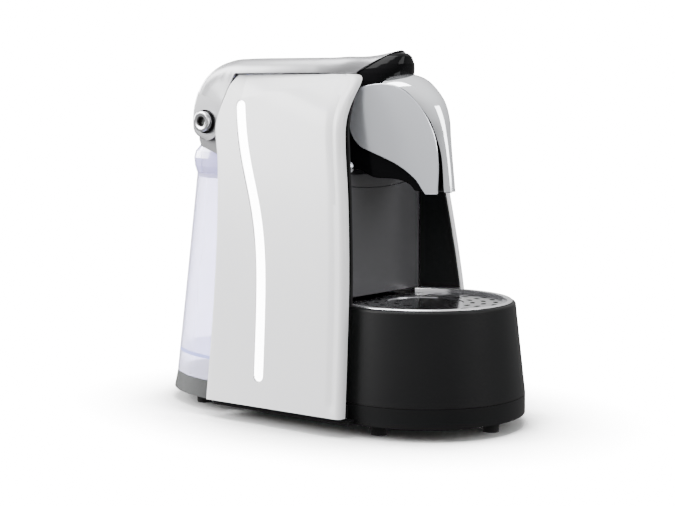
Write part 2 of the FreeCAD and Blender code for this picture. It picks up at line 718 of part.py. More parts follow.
def pump():
    body = rod(16, (-34, 120, 116), (1, 0, 0), 68)
    coil = box((-17, 17), (102.5, 137.5), (98.5, 133.5))
    nozzle = rod(5, (-46, 120, 116), (1, 0, 0), 92)
    return body.fuse([coil, nozzle])


def pump_mounts():
    ring = tube(19, 16.1, (-30, 120, 116), (1, 0, 0), 6)
    foot = box((-30, -24), (134, 139.8), (108, 124)).cut(rod(18.9, (-40, 120, 116), (1, 0, 0), 30))
    return both_sides(ring.fuse(foot))


def boiler():
    block = box((-27, 27), (80, 131), (152, 194))
    for i in range(4):
        block = block.cut(box((-28, 28), (86 + 11 * i, 90 + 11 * i), (188, 195)))
    return block


def control_board():
    plate = box((-40, 40), (135.4, 137.0), (198, 250))
    relay = box((-30, -14), (124, 135.4), (236, 250))
    choke = rod(7, (20, 123, 242), (0, 1, 0), 12.4)
    return plate.fuse([relay, choke])


def cable_gland():
    body = tube(7.5, 3.6, (gland_x, 138.5, gland_z), (0, 1, 0), 9.5)
    return body.fuse(tube(9, 3.6, (gland_x, 143.0, gland_z), (0, 1, 0), 2.4))


def screws():
    spots = [(-30, 138.0, 30), (30, 138.0, 30), (-40, 138.0, 215), (40, 138.0, 215)]
    return Part.makeCompound([rod(3.0, (x, y - 0.2, z), (0, 1, 0), 2.0) for x, y, z in spots])


def base_screws():
    spots = [(-40, 60), (40, 60), (-40, 120), (40, 120)]
    return Part.makeCompound([rod(3.6, (x, y, base_z - 1.6), (0, 0, 1), 1.6) for x, y in spots])


def main():
    save("base_plate", base_plate())
    save("feet", feet())
    save("rear_plinth", rear_plinth())
    save("rear_feet", rear_feet())
    panel = side_panel()
    save("left_panel", panel)
    save("right_panel", mirrored(panel))
    wall = liner()
    save("left_liner", wall)
    save("right_liner", mirrored(wall))
    lower, upper = backsplash()
    save("backsplash_lower", lower)
    save("backsplash_upper", upper)
    save("rear_wall", rear_wall())
    save("top_deck", top_deck())

    save("head_housing", head_housing())
    save("head_hood", head_hood())
    plate = cheek()
    save("left_cheek", plate)
    save("right_cheek", mirrored(plate))
    save("coffee_spout", coffee_spout())
    save("head_bolts", both_sides(cap_bolt(-48.2, 41.5, 199.8, 5.5, 4.2, 5.0)))
    save("brew_chamber", brew_chamber())
    save("piercing_plate", piercing_plate())
    save("brew_piston", brew_piston())
    save("piston_guide", piston_guide())
    save("guide_rails", guide_rails())
    save("capsule_chute", capsule_chute())

    save("arm_cover", arm_cover())
    save("lever_frame", lever_frame())
    save("lever_grip", lever_grip())
    save("button_carrier", button_carrier())
    for name, spot in zip(button_names, button_spots):
        save(name, button(spot))
    bracket = rear_bracket()
    save("left_bracket", bracket)
    save("right_bracket", mirrored(bracket))
    save("pivot_shaft", rod(shaft_radius, (-64.3, pivot_y, pivot_z), (1, 0, 0), 128.6))
    save("pivot_washers", both_sides(tube(9.6, 4.0, (-64.3, pivot_y, pivot_z), (1, 0, 0), 1.0)))
    save("pivot_bolts", both_sides(cap_bolt(-69.2, pivot_y, pivot_z, 8.3, 4.9, 7.0)))

    save("drip_tray", drip_tray())
    save("drip_grid", drip_grid())
    save("grid_rim", grid_rim())
    save("capsule_bin", capsule_bin())

    save("water_tank", water_tank())
    cover, flap = tank_lid()
    save("tank_lid", cover)
    save("tank_flap", flap)
    save("tank_outlet", tank_outlet())
    save("valve_poppet", valve_poppet())

    save("inlet_socket", inlet_socket())
    save("inlet_hose", elbow_hose())
    save("flow_meter", flow_meter())
    save("pump", pump())
    save("pump_mounts", pump_mounts())
    save("boiler", boiler())
    save("control_board", control_board())
    save("cable_gland", cable_gland())
    save("wall_screws", screws())
    save("base_screws", base_screws())


main()
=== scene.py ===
import json
import math

import bmesh
import bpy
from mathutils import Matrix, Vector


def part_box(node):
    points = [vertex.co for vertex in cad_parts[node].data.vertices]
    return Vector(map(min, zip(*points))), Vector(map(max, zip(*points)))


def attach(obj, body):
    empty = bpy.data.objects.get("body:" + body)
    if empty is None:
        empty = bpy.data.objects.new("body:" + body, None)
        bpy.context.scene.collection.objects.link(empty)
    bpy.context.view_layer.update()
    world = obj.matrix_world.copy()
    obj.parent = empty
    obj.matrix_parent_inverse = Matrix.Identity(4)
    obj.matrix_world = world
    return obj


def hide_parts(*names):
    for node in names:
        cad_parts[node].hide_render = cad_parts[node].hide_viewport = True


# Looks of a pod coffee machine. Lengths in the shape functions are millimetres, measured from
# the drip tray's axis (X = Y = 0) and the floor; at() turns them into the frame's metres.

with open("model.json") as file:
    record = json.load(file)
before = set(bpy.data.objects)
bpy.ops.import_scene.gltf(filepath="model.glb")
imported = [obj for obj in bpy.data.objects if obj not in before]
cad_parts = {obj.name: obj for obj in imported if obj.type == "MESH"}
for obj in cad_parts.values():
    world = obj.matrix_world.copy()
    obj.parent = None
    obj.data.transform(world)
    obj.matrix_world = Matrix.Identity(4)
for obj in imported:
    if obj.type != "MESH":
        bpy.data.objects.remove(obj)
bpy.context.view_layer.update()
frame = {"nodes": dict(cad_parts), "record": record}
scene = bpy.context.scene

TRAY_FOOT = 79.2
AXIS_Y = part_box("drip_tray")[0].y + TRAY_FOOT / 1000
PANEL_TOP = 271.2
ARM_LOW, ARM_HEIGHT, ARM_WALL = 271.9, 12.1, 2.4
TURN_Y, TURN_Z, TURN_R = 138.3, 234.3, 49.3
PIVOT_Y, PIVOT_Z = 171.4, 233.7
HEAD_HALF, HEAD_FLARE = 17.9, 0.40
TANK_Y = 150.0


def at(p):
    return (p[0] / 1000, p[1] / 1000 + AXIS_Y, p[2] / 1000)


# ---------------------------------------------------------------- curves
def steps(low, high, count):
    return [low + (high - low) * i / (count - 1) for i in range(count)]


def clamp(value, low=0.0, high=1.0):
    return max(low, min(high, value))


def smooth(value):
    t = clamp(value)
    return t * t * (3 - 2 * t)


def lerp(a, b, t):
    return a + (b - a) * t


def distance(a, b):
    return math.sqrt(sum((u - v) ** 2 for u, v in zip(a, b)))


def through(points, count):
    """Evenly spaced points on a centripetal Catmull-Rom curve through the given ones."""
    first = [2 * a - b for a, b in zip(points[0], points[1])]
    last = [2 * a - b for a, b in zip(points[-1], points[-2])]
    points = [first] + list(points) + [last]
    dense = []
    for p0, p1, p2, p3 in zip(points, points[1:], points[2:], points[3:]):
        t1 = max(distance(p0, p1), 1e-6) ** 0.5
        t2 = t1 + max(distance(p1, p2), 1e-6) ** 0.5
        t3 = t2 + max(distance(p2, p3), 1e-6) ** 0.5
        for i in range(24):
            t = lerp(t1, t2, i / 24)
            row = []
            for a, b, c, d in zip(p0, p1, p2, p3):
                ab = a + (b - a) * t / t1
                bc = b + (c - b) * (t - t1) / (t2 - t1)
                cd = c + (d - c) * (t - t2) / (t3 - t2)
                abc = ab + (bc - ab) * t / t2
                bcd = bc + (cd - bc) * (t - t1) / (t3 - t1)
                row.append(abc + (bcd - abc) * (t - t1) / (t2 - t1))
            dense.append(tuple(row))
    dense.append(tuple(points[-2]))
    return even(dense, count)


def even(points, count):
    """The same path with points at equal distances."""
    length = [0.0]
    for a, b in zip(points, points[1:]):
        length.append(length[-1] + distance(a, b))
    result, i = [], 0
    for k in range(count):
        goal = length[-1] * k / (count - 1)
        while i < len(points) - 2 and length[i + 1] < goal:
            i += 1
        span = max(length[i + 1] - length[i], 1e-9)
        t = clamp((goal - length[i]) / span)
        result.append(tuple(lerp(a, b, t) for a, b in zip(points[i], points[i + 1])))
    return result


def value_at(table, x):
    """Linear reading of a table of (x, value) pairs."""
    if x <= table[0][0]:
        return table[0][1]
    for (a, u), (b, v) in zip(table, table[1:]):
        if x <= b:
            return lerp(u, v, (x - a) / (b - a))
    return table[-1][1]


# ---------------------------------------------------------------- meshes
def loft(rings, caps=True):
    n = len(rings[0])
    points = [p for ring in rings for p in ring]
    faces = []
    for i in range(len(rings) - 1):
        for j in range(n):
            k = (j + 1) % n
            faces.append((i * n + j, i * n + k, (i + 1) * n + k, (i + 1) * n + j))
    if caps:
        faces.append(tuple(reversed(range(n))))
        faces.append(tuple((len(rings) - 1) * n + j for j in range(n)))
    return points, faces


def shell(outer, inner):
    """A closed skin from two grids of the same size, joined along their borders."""
    rows, cols = len(outer), len(outer[0])
    points = [p for row in outer for p in row] + [p for row in inner for p in row]
    off = rows * cols
    faces = []
    for i in range(rows - 1):
        for j in range(cols - 1):
            a, b = i * cols + j, i * cols + j + 1
            c, d = a + cols, b + cols
            faces.append((a, b, d, c))
            faces.append((off + a, off + c, off + d, off + b))
    border = list(range(cols))
    border += [i * cols + cols - 1 for i in range(1, rows)]
    border += [(rows - 1) * cols + j for j in range(cols - 2, -1, -1)]
    border += [i * cols for i in range(rows - 2, 0, -1)]
    for a, b in zip(border, border[1:] + border[:1]):
        faces.append((a, off + a, off + b, b))
    return points, faces


def plate(outline, near, far):
    """Flat piece: outline of (y, z), with its two faces at x = near(y) and x = far(y)."""
    return loft([[(near(y), y, z) for y, z in outline], [(far(y), y, z) for y, z in outline]])


def mirror(shape):
    points, faces = shape
    return [(-x, y, z) for x, y, z in points], [tuple(reversed(f)) for f in faces]


def build(name, shape, slot, body, hides, angle=30.0, bevel=0.0, bevel_angle=35.0, segments=3):
    points, faces = shape
    data = bpy.data.meshes.new(name)
    data.from_pydata([at(p) for p in points], [], faces)
    bm = bmesh.new()
    bm.from_mesh(data)
    bmesh.ops.remove_doubles(bm, verts=bm.verts, dist=1e-6)
    bmesh.ops.recalc_face_normals(bm, faces=bm.faces)
    bm.to_mesh(data)
    bm.free()
    data.shade_smooth()
    data.set_sharp_from_angle(angle=math.radians(angle))
    obj = bpy.data.objects.new(name, data)
    scene.collection.objects.link(obj)
    data.materials.append(looks[slot])
    if bevel:
        edge = obj.modifiers.new("edge", "BEVEL")
        edge.width = bevel / 1000
        edge.segments = segments
        edge.limit_method = "ANGLE"
        edge.angle_limit = math.radians(bevel_angle)
        edge.harden_normals = True
    for node in hides:
        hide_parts(node)
    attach(obj, body)
    return obj


# ---------------------------------------------------------------- materials
def new_material(name):
    mat = bpy.data.materials.new(name)
    mat.use_nodes = True
    tree = mat.node_tree
    shader = tree.nodes["Principled BSDF"]
    return mat, tree, shader


def noise(tree, scale, detail, source, stretch=(1, 1, 1)):
    mapping = tree.nodes.new("ShaderNodeMapping")
    mapping.inputs["Scale"].default_value = stretch
    tree.links.new(source, mapping.inputs["Vector"])
    tex = tree.nodes.new("ShaderNodeTexNoise")
    tex.inputs["Scale"].default_value = scale
    tex.inputs["Detail"].default_value = detail
    tree.links.new(mapping.outputs["Vector"], tex.inputs["Vector"])
    return tex.outputs["Fac"]


def spread(tree, source, low, high):
    node = tree.nodes.new("ShaderNodeMapRange")
    node.inputs["To Min"].default_value = low
    node.inputs["To Max"].default_value = high
    tree.links.new(source, node.inputs["Value"])
    return node.outputs["Result"]


def finish_material(name, dark, light, rough, metal=0.0, coat=0.0, coat_rough=0.03, grain=900.0, bump=0.02,
                    cloud=9.0, stretch=(1, 1, 1), ior=1.5, specular=0.5, painted_glow=0.0):
    """Base look: a soft cloudy tone between two colours, a roughness range, a fine grain and, if asked, a
    painted glow.
    """
    mat, tree, shader = new_material(name)
    place = tree.nodes.new("ShaderNodeTexCoord").outputs["Object"]
    tone = noise(tree, cloud, 3.0, place)
    ramp = tree.nodes.new("ShaderNodeValToRGB")
    ramp.color_ramp.elements[0].position = 0.3
    ramp.color_ramp.elements[0].color = (*dark, 1)
    ramp.color_ramp.elements[1].position = 0.7
    ramp.color_ramp.elements[1].color = (*light, 1)
    tree.links.new(tone, ramp.inputs["Fac"])
    tree.links.new(ramp.outputs["Color"], shader.inputs["Base Color"])
    fine = noise(tree, grain, 2.0, place, stretch)
    tree.links.new(spread(tree, fine, *rough), shader.inputs["Roughness"])
    if bump:
        node = tree.nodes.new("ShaderNodeBump")
        node.inputs["Strength"].default_value = bump
        node.inputs["Distance"].default_value = 0.0002
        tree.links.new(fine, node.inputs["Height"])
        tree.links.new(node.outputs["Normal"], shader.inputs["Normal"])
    shader.inputs["Metallic"].default_value = metal
    shader.inputs["Coat Weight"].default_value = coat
    shader.inputs["Coat Roughness"].default_value = coat_rough
    shader.inputs["IOR"].default_value = ior
    shader.inputs["Specular IOR Level"].default_value = specular
    # Painted glow: the surface emits its own colour as light, though it is no lamp.
    if painted_glow:
        tree.links.new(ramp.outputs["Color"], shader.inputs["Emission Color"])
        shader.inputs["Emission Strength"].default_value = painted_glow
    return mat


def tinted_clear(name, dark, light, rough, transmission, ior=1.46, alpha=1.0):
    """Moulded clear plastic with a faint tint and slight waviness."""
    mat = finish_material(name, dark, light, rough, grain=60.0, bump=0.05, cloud=14.0, ior=ior)
    shader = mat.node_tree.nodes["Principled BSDF"]
    shader.inputs["Transmission Weight"].default_value = transmission
    shader.inputs["Alpha"].default_value = alpha
    return mat


looks = {
    "white_gloss": finish_material(
        "white_gloss", (0.74, 0.74, 0.755), (0.78, 0.78, 0.79), (0.26, 0.34), coat=0.25,
        coat_rough=0.15, grain=500, bump=0.01),
    # Painted glow: the groove's white emits light to stand in for the bright highlight along it, though the
    # groove is no lamp.
    "groove_painted_glow": finish_material(
        "groove_painted_glow", (0.93, 0.93, 0.94), (0.97, 0.97, 0.97), (0.16, 0.22), coat=0.6, grain=500,
        bump=0.0, painted_glow=12.0),
    # Painted shade: dark grey on the groove's rear wall stands in for the shadow inside the recess.
    "groove_painted_shade": finish_material(
        "groove_painted_shade", (0.20, 0.20, 0.21), (0.26, 0.26, 0.27), (0.4, 0.5), grain=500),
    "black_gloss": finish_material(
        "black_gloss", (0.002, 0.002, 0.0024), (0.0035, 0.0035, 0.004), (0.08, 0.13), grain=300,
        bump=0.01, specular=0.08),
    "black_satin": finish_material(
        "black_satin", (0.0055, 0.0055, 0.0058), (0.0085, 0.0085, 0.0088), (0.40, 0.50), grain=2600,
        bump=0.10, specular=0.11),
    "grey_gloss": finish_material(
        "grey_gloss", (0.050, 0.050, 0.053), (0.062, 0.062, 0.065), (0.20, 0.26), grain=400, bump=0.02,
        specular=0.30),
    "silver_paint": finish_material(
        "silver_paint", (0.31, 0.31, 0.32), (0.35, 0.35, 0.36), (0.34, 0.42), metal=0.8, grain=3200,
        bump=0.05),
    "chrome": finish_material(
        "chrome", (0.80, 0.815, 0.85), (0.86, 0.875, 0.90), (0.05, 0.08), metal=0.92, grain=120,
        bump=0.004),
    "cheek_chrome": finish_material(
        "cheek_chrome", (0.78, 0.80, 0.86), (0.86, 0.88, 0.93), (0.14, 0.20), metal=0.65, grain=120,
        bump=0.004),
    "polished_steel": finish_material(
        "polished_steel", (0.50, 0.50, 0.52), (0.62, 0.62, 0.64), (0.12, 0.20), metal=1.0, grain=900,
        bump=0.02, stretch=(1, 1, 8)),
    "socket_shade": finish_material(
        "socket_shade", (0.03, 0.03, 0.03), (0.05, 0.05, 0.05), (0.4, 0.5), metal=0.6, grain=900,
        bump=0.02),
    "rim_steel": finish_material(
        "rim_steel", (0.62, 0.62, 0.64), (0.72, 0.72, 0.74), (0.12, 0.20), metal=0.85, grain=900,
        bump=0.02),
    "steel": finish_material(
        "steel", (0.42, 0.43, 0.45), (0.55, 0.56, 0.58), (0.28, 0.42), metal=1.0, grain=1400, bump=0.06,
        stretch=(8, 1, 1)),
    "tank_clear": tinted_clear(
        "tank_clear", (0.66, 0.65, 0.80), (0.72, 0.71, 0.84), (0.08, 0.14), 0.72),
    "rubber_black": finish_material(
        "rubber_black", (0.006, 0.006, 0.006), (0.010, 0.010, 0.010), (0.6, 0.8), grain=1800, bump=0.25,
        specular=0.2),
    "plinth_grey": finish_material(
        "plinth_grey", (0.020, 0.021, 0.021), (0.030, 0.031, 0.031), (0.5, 0.6), grain=2200, bump=0.10,
        specular=0.1),
    "bracket_grey": finish_material(
        "bracket_grey", (0.14, 0.14, 0.145), (0.18, 0.18, 0.185), (0.35, 0.5), metal=0.4, grain=1500,
        bump=0.06),
    "inner_plastic": finish_material(
        "inner_plastic", (0.10, 0.10, 0.105), (0.14, 0.14, 0.145), (0.4, 0.55), grain=1500, bump=0.10,
        specular=0.3),
    "aluminium": finish_material(
        "aluminium", (0.56, 0.57, 0.59), (0.66, 0.67, 0.69), (0.3, 0.5), metal=1.0, grain=900, bump=0.20),
    "board_green": finish_material(
        "board_green", (0.02, 0.14, 0.06), (0.03, 0.18, 0.08), (0.3, 0.45), grain=700, bump=0.05),
    "hose_clear": finish_material(
        "hose_clear", (0.62, 0.62, 0.58), (0.70, 0.70, 0.66), (0.35, 0.5), grain=500, bump=0.04),
    "lid_clear": tinted_clear(
        "lid_clear", (0.50, 0.48, 0.72), (0.58, 0.56, 0.80), (0.12, 0.18), 0.45),
    "water_line": finish_material(
        "water_line", (0.34, 0.36, 0.80), (0.42, 0.45, 0.88), (0.15, 0.25), grain=200, bump=0.02),
}

slot_of = {row["node"]: row["material_slot"] for row in frame["record"]["subparts"]}
own_look = {"tank_lid": "lid_clear", "tank_flap": "lid_clear"}
for node, obj in frame["nodes"].items():
    obj.data.materials.clear()
    obj.data.materials.append(looks[own_look.get(node, slot_of[node])])


# ---------------------------------------------------------------- side panels
# Front and back edge of a panel as (height, y).
FRONT = [(14.6, 11.1), (66, 13.9), (118, 17.5), (177, 24.2), (214, 30.2), (238, 32.6), (262, 33.4),
         (266.5, 34.6), (268.6, 36.0), (270.3, 38.5), (271.2, 42.4)]
BACK = [(14.6, 145.3), (69, 145.3), (140, 147.4), (203, 152.9), (231, 157.9), (246.8, 153.2),
        (259, 147.9), (271.2, 141.0)]
front_edge = [(z, y) for y, z in through([(y, z) for z, y in FRONT], 400)]
back_edge = [(z, y) for y, z in through([(y, z) for z, y in BACK], 400)]


def panel_x(y, z):
    curl = 1 + 21 * (max(0.0, 142 - y) / 100) ** 1.6
    start = 225 + 0.32 * (y - 33)
    t = max(0.0, (z - start) / (PANEL_TOP - start))
    return 95.9 - 0.1263 * z - curl * t * t


def groove_centre(z):
    return 92.5 + 31.5 / (1 + math.exp(-(z - 186) / 24)) + 0.05 * (z - 34)


GROOVE_LOW, GROOVE_HIGH, GROOVE_HALF = 38.5, 246.5, 4.5


def groove_distance(y, z):
    """How far a point of the panel is from the groove's centre line."""
    if GROOVE_LOW <= z <= GROOVE_HIGH:
        slope = groove_centre(z + 0.5) - groove_centre(z - 0.5)
        return abs(y - groove_centre(z)) / math.hypot(1, slope)
    end = GROOVE_LOW if z < GROOVE_LOW else GROOVE_HIGH
    return math.hypot(y - groove_centre(end), z - end)


def top_facet(y, z):
    """The facet along the top edge leans in a little more, above a soft crease."""
    crease = value_at([(42, 269.3), (60, 265.5), (100, 257.5), (132, 252.5), (140, 258.0), (150, 266.0)], y)
    return 4.2 * max(0.0, z - crease) / (PANEL_TOP - 252.5) * smooth((z - crease) / 2.0 + 0.3)


def panel_ring(z):
    front, back = value_at(front_edge, z), value_at(back_edge, z)
    middle = min(groove_centre(z), back - 13)
    roll = 4.5

    def skin(y):
        bead = 1.8 * math.exp(-((y - front - 8.5) / 2.0) ** 2) * smooth((z - 16) / 10)
        return panel_x(y, z) - bead - top_facet(y, z)

    ys = steps(front + roll, middle - 8, 26) + steps(middle - 8, middle + 8, 41)[1:]
    ys += steps(middle + 8, back - 0.9, 12)[1:]
    ring = []
    for y in steps(back - 0.9, front + 6.2, 14):
        ring.append((y, skin(y) - 3.0))
    ring += [(front + 5.8, skin(front + 6) - 3.6), (front + 5.8, skin(front + 6) - 7.6),
             (front + 5.2, skin(front + 5) - 8.0), (front + 0.8, skin(front) - 8.0),
             (front + 0.1, skin(front) - 7.4)]
    for k in range(9):
        a = math.radians(90 * k / 8)
        ring.append((front + roll - roll * math.cos(a), skin(front + roll) - roll + roll * math.sin(a)))
    for y in ys[1:]:
        depth = 1.15 * (1 - smooth((groove_distance(y, z) - (GROOVE_HALF - 1.0)) / 1.2))
        ring.append((y, skin(y) - depth))
    ring += [(back - 0.25, skin(back) - 0.3), (back, skin(back) - 0.9), (back, skin(back) - 2.2),
             (back - 0.3, skin(back) - 2.8)]
    return [(-x, y, z) for y, x in ring]


def panel_heights():
    zs = steps(14.6, 33.0, 8) + steps(33.6, 40.0, 17) + steps(42.0, 244.0, 90)
    zs += steps(245.0, 252.0, 18) + steps(253.0, 262.0, 8) + steps(262.8, PANEL_TOP, 16)
    return zs


def side_panels():
    shape = loft([panel_ring(z) for z in panel_heights()])
    for name, one in (("left_panel", shape), ("right_panel", mirror(shape))):
        obj = build(name + ".skin", one, "white_gloss", "chassis", [name], angle=38)
        obj.data.materials.append(looks["groove_painted_glow"])
        obj.data.materials.append(looks["groove_painted_shade"])
        for face in obj.data.polygons:
            x, y, z = [c * 1000 for c in face.center]
            y -= AXIS_Y * 1000
            outside = abs(x) > panel_x(y, z) - 2.2
            away = groove_distance(y, z)
            # Faces inside the groove get the painted glow; a thin strip along its rear wall gets painted
            # shade.
            if outside and away < GROOVE_HALF - 0.3:
                face.material_index = 1
            elif outside and away < GROOVE_HALF + 0.4 and y > groove_centre(z):
                face.material_index = 2


# ---------------------------------------------------------------- brew head
HOOD = [  # ridge y, ridge z, edge y, edge z, half-width
    (-27.1, 181.3, -22.1, 181.3, 6.5), (-23.9, 209.0, -19.6, 209.0, 6.8), (-22.2, 222.5, -16.9, 221.5, 8.6),
    (-19.8, 238.0, -13.0, 235.4, 12.2), (-13.6, 252.5, -4.4, 248.4, 16.1), (0.6, 266.2, 5.1, 258.6, 19.9),
    (11.0, 270.6, 13.6, 262.6, 23.3), (22.0, 271.2, 22.4, 264.0, 26.8),
]


def hood_ring(station, inset):
    ry, rz, ey, ez, half = station
    height = math.hypot(ry - ey, rz - ez)
    ny, nz = (ry - ey) / height, (rz - ez) / height
    radius = (half * half + height * height) / (2 * height)
    reach = math.acos(clamp((radius - height) / radius, -1, 1))
    centre_y, centre_z = ey + ny * (height - radius), ez + nz * (height - radius)
    ring = []
    for k in range(49):
        a = reach * (2 * k / 48 - 1)
        r = radius - inset
        ring.append((r * math.sin(a), centre_y + ny * r * math.cos(a), centre_z + nz * r * math.cos(a)))
    return ring


def head():
    stations = through(HOOD, 70)
    hood = shell([hood_ring(s, 0.0) for s in stations], [hood_ring(s, 1.7) for s in stations])
    build("head_hood.skin", hood, "chrome", "chassis", ["head_hood"], angle=50, bevel=0.7, bevel_angle=50)

    top = [(38.1, 261.2), (30.7, 263.1), (22.4, 264.0)]
    front = [(22.4, 264.0), (13.4, 262.4), (4.9, 257.6), (-4.6, 248.0), (-11.5, 236.4), (-16.9, 221.1),
             (-19.0, 203.0), (-18.6, 179.6)]
    below = [(-9.5, 179.4), (-6.9, 183.6), (-2.5, 190.4), (4.8, 197.2), (12.2, 202.4), (19.5, 206.2),
             (30.6, 211.4), (38.0, 215.2), (43.9, 222.8), (46.2, 230.5), (46.4, 237.4), (45.5, 245.1),
             (42.5, 253.5), (38.1, 261.2)]
    outline = through(top, 12)[:-1] + through(front, 70) + through(below, 110)[:-1]

    def side(offset):
        return lambda y: -(HEAD_HALF + HEAD_FLARE * y - offset)

    cheek = plate(outline, side(0.0), side(1.6))
    for name, one in (("left_cheek", cheek), ("right_cheek", mirror(cheek))):
        obj = build(name + ".skin", one, "chrome", "chassis", [name], angle=30, bevel=0.8, bevel_angle=50)
        obj.data.materials.append(looks["cheek_chrome"])
        for face in obj.data.polygons:
            if len(face.vertices) > 4:
                face.material_index = 1

    arc = [(52.0, 197.5), (39.5, 197.5), (34.3, 194.4), (29.1, 191.8), (14.3, 190.9), (7.0, 189.1),
           (2.6, 186.5), (-1.1, 182.0)]
    profile = [(-17.5, 181.3), (-17.8, 205), (-14.5, 224), (-8.5, 240), (0, 251), (12, 258.4), (30, 259.5),
               (52, 257.5)]
    profile = through(profile, 60) + through(arc, 60)
    half = side(1.75)
    housing = plate(profile, half, lambda y: -half(y))
    build("head_housing.skin", housing, "black_gloss", "chassis", ["head_housing"], angle=30, bevel=0.9,
          bevel_angle=50)


# ---------------------------------------------------------------- tray rim
TRAY_TOP = 96.0
# Section of the ring as (radius, height over the tray's edge).
RIM = [(64.0, -3.0), (66.3, -3.0), (66.3, 0.15), (68.2, 0.15), (68.6, 0.5), (68.3, 1.1), (67.5, 1.5),
       (66.3, 1.6), (65.1, 1.4), (64.3, 0.8), (64.0, 0.0)]


def rim():
    """Rounded bright ring that laps over the tray's edge, open where the backsplash stands."""
    rings = []
    for k in range(121):
        a = math.radians(138.4 + 263.2 * k / 120)
        rings.append([(r * math.cos(a), r * math.sin(a), TRAY_TOP + z) for r, z in RIM])
    obj = build("grid_rim.skin", loft(rings), "polished_steel", "grid", ["grid_rim"], angle=40)
    obj.data.materials[0] = looks["rim_steel"]


# ---------------------------------------------------------------- bolts
def cap_bolt(x, y, z, radius, height, across):
    """Socket-head bolt lying along X, its head towards -X."""
    def ring(r, depth, hexagon):
        points = []
        for i in range(48):
            a = 2 * math.pi * i / 48
            if hexagon:
                turn = (a % (math.pi / 3)) - math.pi / 6
                r = across / 2 / math.cos(turn)
            points.append((x + depth, y + r * math.cos(a), z + r * math.sin(a)))
        return points

    rings = [ring(radius, height, False), ring(radius, 0.9, False), ring(radius - 0.25, 0.35, False),
             ring(radius - 0.8, 0.05, False), ring(radius - 1.1, 0.0, False),
             ring(0.58 * across + 0.7, 0.0, False),
             ring(0.58 * across + 0.3, 0.25, False), ring(0, 0.5, True), ring(0, 0.7 * height, True)]
    return loft(rings)


def pair(shape):
    points, faces = shape
    other, back = mirror(shape)
    n = len(points)
    return points + other, faces + [tuple(i + n for i in f) for f in back]


BOLTS = [  # node, head's x, y, z, radius, height, width across the socket
    ("pivot_bolts", -69.2, PIVOT_Y, PIVOT_Z, 8.3, 4.9, 7.0),
    ("head_bolts", -48.2, 41.5, 199.8, 5.5, 4.2, 5.0),
]


def bolts():
    for node, x, y, z, radius, height, across in BOLTS:
        heads = pair(cap_bolt(x, y, z, radius, height, across))
        obj = build(node + ".skin", heads, "polished_steel", "chassis", [node], angle=35)
        obj.data.materials.append(looks["socket_shade"])
        for face in obj.data.polygons:
            cx, cy, cz = [c * 1000 for c in face.center]
            away = math.hypot(cy - AXIS_Y * 1000 - y, cz - z)
            if away < 0.6 * across and abs(cx) < abs(x) - 0.3:
                face.material_index = 1


# ---------------------------------------------------------------- arm
# Inner radius of the arm's rear bend as (angle from the top, radius).
UNDERSIDE = [(0, 37.6), (4.5, 37.7), (11, 33.2), (22, 27.6), (33, 23.9), (44, 21.5), (55, 20.1), (62, 19.6)]
LIP_Y, LIP_LEAN, LIP_HALF, LIP_RISE = 43.0, (-0.7515, 0.6597), 33.5, 27.4


def arch(base, up, half, height, shoulder, round_height, inset):
    """Flat side, rounded shoulder and a gently crowned top."""
    h, d = half - inset, height - inset
    r = min(round_height, d)
    side = [(-h + 0.02 * n, n) for n in steps(0, d - r, 6)[:-1]] if d - r > 0.5 else []
    for k in range(13):
        a = math.radians(90 * k / 12)
        side.append((-h + shoulder * (1 - math.cos(a)), d - r + r * math.sin(a)))
    outline = side + [(0, d + 0.4)] + [(-x, n) for x, n in reversed(side)]
    outline = even([(x, n) for x, n in outline], 81)
    return [(x, base[0] + up[0] * n, base[1] + up[1] * n) for x, n in outline]


def lip(inset):
    left = []
    for k in range(25):
        t = 1 - (1 - k / 24) ** 1.6
        left.append((-(LIP_HALF - inset) * (1 - t) ** 0.62, (LIP_RISE - inset) * t))
    outline = even(left + [(-x, n) for x, n in left[-2::-1]], 81)
    return [(x, LIP_Y + LIP_LEAN[0] * n, ARM_LOW + LIP_LEAN[1] * n) for x, n in outline]


def arm_grid(inset):
    sections = []
    for angle, low in reversed(UNDERSIDE):
        a = math.radians(angle)
        up = (math.sin(a), math.cos(a))
        base = (TURN_Y + up[0] * low, TURN_Z + up[1] * low)
        half = 61 + 2 * smooth(angle / 50)
        sections.append(arch(base, up, half, TURN_R - low, 9 - 5 * smooth(angle / 50),
                             12 - 7 * smooth(angle / 45), inset))
    for y in (124, 108, 92, 78, 66):
        sections.append(arch((y, ARM_LOW), (0, 1), panel_x(y, PANEL_TOP), ARM_HEIGHT, 10, 12, inset))
    sections.append(arch((52, ARM_LOW), (-0.33, 0.944), 40.5, 13.6, 15, 14, inset))
    sections.append(lip(inset))
    columns = [through([s[j] for s in sections], 120) for j in range(81)]
    return [list(row) for row in zip(*columns)]


def arm():
    build("arm_cover.skin", shell(arm_grid(0.0), arm_grid(ARM_WALL)), "silver_paint", "lever", ["arm_cover"],
          angle=40, bevel=0.5, bevel_angle=55, segments=2)
    inner_edge = [(154.6, 246.6), (155.9, 242.4), (157.4, 237.0), (158.3, 232.0), (159.0, 227.5),
                  (160.6, 223.6), (163.6, 220.6), (167.4, 219.0), (171.4, 218.5)]
    arc = [(TURN_Y + TURN_R * math.sin(math.radians(v)), TURN_Z + TURN_R * math.cos(math.radians(v)))
           for v in steps(61.5, 93, 12)]
    outer_edge = arc + [(187.3, 228.6), (185.9, 225.2), (182.4, 222.2), (177.6, 219.9), (172.4, 218.7)]
    inner_edge, outer_edge = through(inner_edge, 50), through(outer_edge, 50)
    rings = [ear_ring(a, b) for a, b in zip(inner_edge, outer_edge)]
    ear = loft(rings)
    for name, one in (("left_ear", ear), ("right_ear", mirror(ear))):
        build(name, one, "silver_paint", "lever", [], angle=45)


